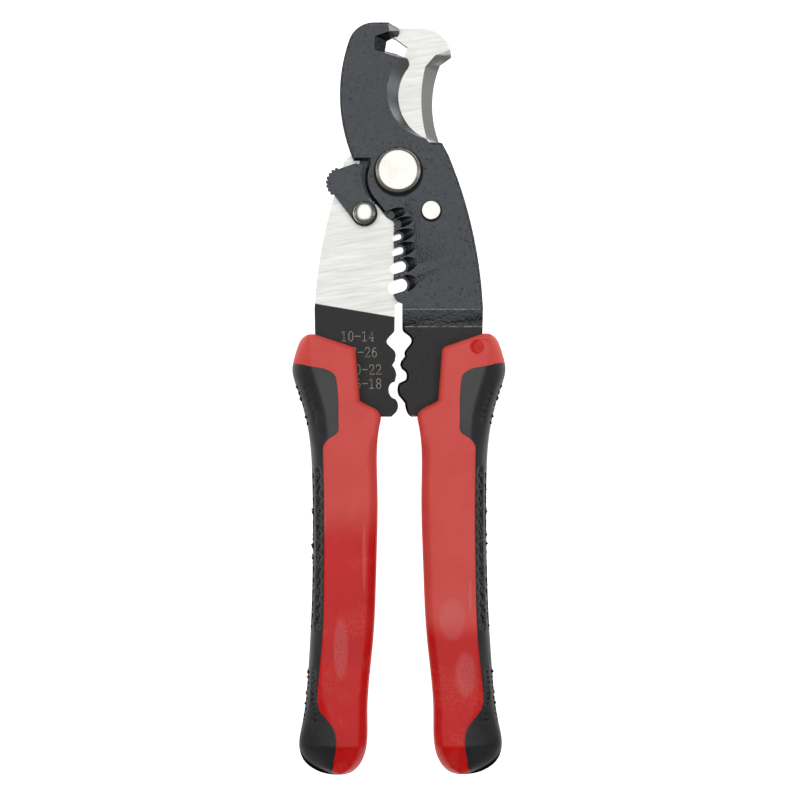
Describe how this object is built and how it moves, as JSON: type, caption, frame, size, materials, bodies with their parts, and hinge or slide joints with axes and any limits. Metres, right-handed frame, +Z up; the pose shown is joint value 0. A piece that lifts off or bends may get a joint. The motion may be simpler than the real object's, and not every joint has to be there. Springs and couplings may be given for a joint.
{
  "type": "wire stripper",
  "caption": "Locking hand tool with hooked cable-cutting jaws, a row of wire-stripping notches, crimping dies and two-colour moulded grips.",
  "frame": {"origin": "below the middle of the whole tool, on the surface it lies on", "axes": "+Y along the tool from the grips to the jaws, +X across it from the left grip to the right one, +Z up, away from the surface"},
  "size_m": [0.0651, 0.23, 0.016],
  "materials": {
    "coated_steel": "black coated forged steel with a faint orange-peel texture",
    "ground_steel": "flat-ground blade steel on the face, black coating elsewhere",
    "bright_steel": "bright nickel-plated steel",
    "spring_steel": "drawn spring wire",
    "red_plastic": "satin red moulded plastic",
    "black_rubber": "soft black overmoulded rubber with moulded grip texture"
  },
  "bodies": {
    "rear_side": {"rear_lever": "ground_steel", "pivot_bolt": "bright_steel", "pivot_washer": "bright_steel", "pivot_nut": "bright_steel", "return_spring": "spring_steel", "latch_rivet": "bright_steel", "latch_washer": "bright_steel", "left_grip_body": "red_plastic", "left_grip_cover": "black_rubber"},
    "front_side": {"front_lever": "coated_steel", "stop_pin": "bright_steel", "right_grip_body": "red_plastic", "right_grip_cover": "black_rubber"},
    "latch": {"lock_latch": "coated_steel"}
  },
  "joints": [
    {"name": "lever_pivot", "type": "hinge", "parent": "rear_side", "child": "front_side", "pos_m": [0, 0.0696, 0.008], "axis": [0, 0, 1], "range_deg": [-1.4, 20], "deforming": ["return_spring"]},
    {"name": "latch_swing", "type": "hinge", "parent": "rear_side", "child": "latch", "pos_m": [-0.0103, 0.0567, 0.0095], "axis": [0, 0, 1], "range_deg": [-2.6, 36.5]}
  ],
  "couplings": [
    {"joint": "latch_swing", "follows": "lever_pivot", "ratio": 1.8}
  ]
}
